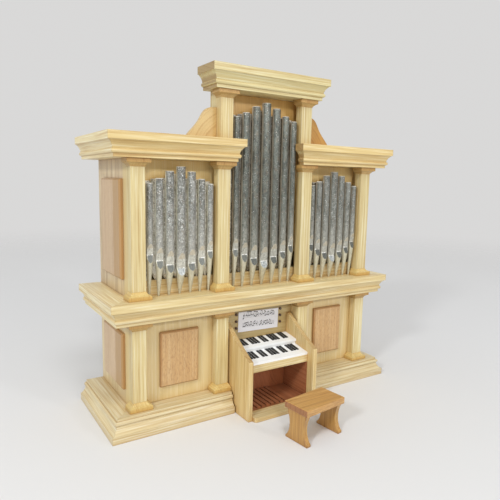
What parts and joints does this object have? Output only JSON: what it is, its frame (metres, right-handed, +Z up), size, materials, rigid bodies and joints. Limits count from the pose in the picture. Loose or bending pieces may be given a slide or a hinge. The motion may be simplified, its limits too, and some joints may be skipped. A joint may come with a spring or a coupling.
{
  "type": "miniature pipe organ",
  "caption": "Wooden miniature pipe organ with moulded cornices, three bays of metal pipes, a two-manual console and a small bench.",
  "frame": {"origin": "centre of the footprint of the organ and its bench, on the surface they stand on", "axes": "+X to the organ's own right as seen from the front, +Y to its flat back, +Z up"},
  "size_m": [0.2012, 0.1204, 0.2032],
  "materials": {
    "pale_wood": "pale pine, clear satin lacquer, straight grain",
    "beech_wood": "pinkish brown beech with short dark flecks, satin",
    "warm_wood": "orange brown fruitwood, satin lacquer",
    "dark_wood": "dark red-brown stained wood, satin",
    "pipe_metal": "mottled satin silver-grey metal",
    "ivory_white": "white key tops",
    "ebony_black": "black key tops",
    "paper": null
  },
  "bodies": {
    "root": {"base_fronts": "pale_wood", "base_sides": "pale_wood", "belt_front": "pale_wood", "belt_sides": "pale_wood", "cornice_fronts": "pale_wood", "cornice_sides": "pale_wood", "centre_cornice": "pale_wood", "back_rails": "pale_wood", "case_top": "pale_wood", "bottom_board": "pale_wood", "lower_side_walls": "pale_wood", "upper_side_walls": "pale_wood", "lower_front_panels": "pale_wood", "lower_back_panel": "pale_wood", "upper_back_panel": "pale_wood", "front_raised_panels": "beech_wood", "lower_side_raised_panels": "beech_wood", "upper_side_raised_panels": "beech_wood", "lower_posts": "pale_wood", "lower_post_bases": "pale_wood", "lower_post_capitals": "pale_wood", "upper_posts": "pale_wood", "upper_post_bases": "pale_wood", "upper_post_capitals": "pale_wood", "tower_posts": "pale_wood", "tower_post_capitals": "pale_wood", "tower_walls": "pale_wood", "tower_back_panel": "pale_wood", "wings": "warm_wood", "toe_board": "pale_wood", "pipe_backboard": "pale_wood", "front_pipes_left": "pipe_metal", "front_pipes_centre": "pipe_metal", "front_pipes_right": "pipe_metal", "back_pipes_left": "pipe_metal", "back_pipes_centre": "pipe_metal", "back_pipes_right": "pipe_metal", "console_cheeks": "pale_wood", "console_floor": "pale_wood", "kneehole_back": "dark_wood", "kneehole_sides": "dark_wood", "pedal_board": "dark_wood", "key_bed": "pale_wood", "lower_manual": "ivory_white", "upper_manual": "ivory_white", "lower_sharps": "ebony_black", "upper_sharps": "ebony_black", "music_board": "pale_wood", "music_sheet": "paper", "stop_knobs": "dark_wood", "bench_seat": "warm_wood", "bench_legs": "warm_wood"}
  },
  "joints": []
}
